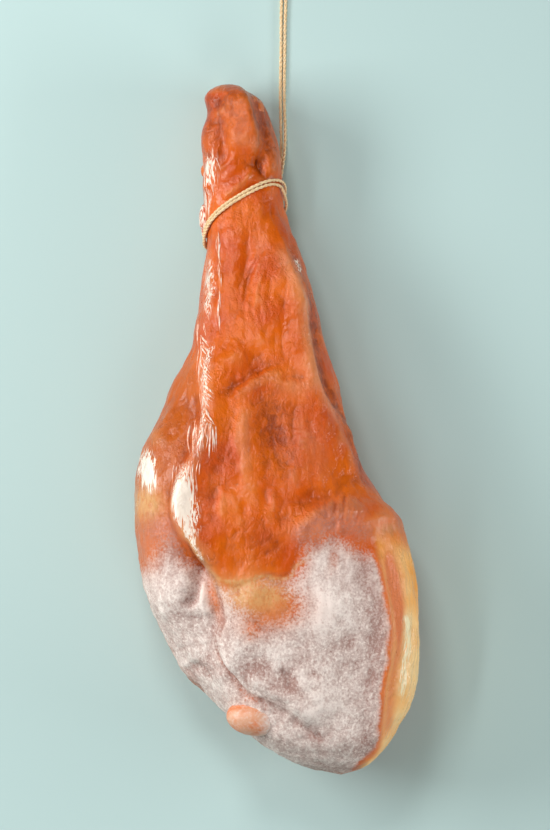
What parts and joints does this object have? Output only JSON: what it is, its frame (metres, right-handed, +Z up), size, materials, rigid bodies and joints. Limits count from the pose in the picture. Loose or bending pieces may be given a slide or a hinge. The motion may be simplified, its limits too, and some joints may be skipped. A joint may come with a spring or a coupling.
{
  "type": "cured ham",
  "caption": "Whole cured ham on the bone with glossy orange shank, powdery white butt and bone head, lying meat side up with doubled twine hitched round its neck.",
  "frame": {"origin": "on the floor, under the middle of the ham's length and width (without its twine)", "axes": "+Z up out of the meat side, +Y along the leg towards the hock, +X towards the thick edge with the fat side"},
  "size_m": [0.2599, 0.7454, 0.149],
  "materials": {
    "cured_meat": "glossy oiled skin and meat, powdery white towards the butt, golden fat along the thick edge",
    "twine": "matt twisted natural fibre"
  },
  "bodies": {
    "root": {"ham": "cured_meat", "twine_hitch": "twine", "twine_left": "twine", "twine_right": "twine", "twine_knot": "twine"}
  },
  "joints": []
}
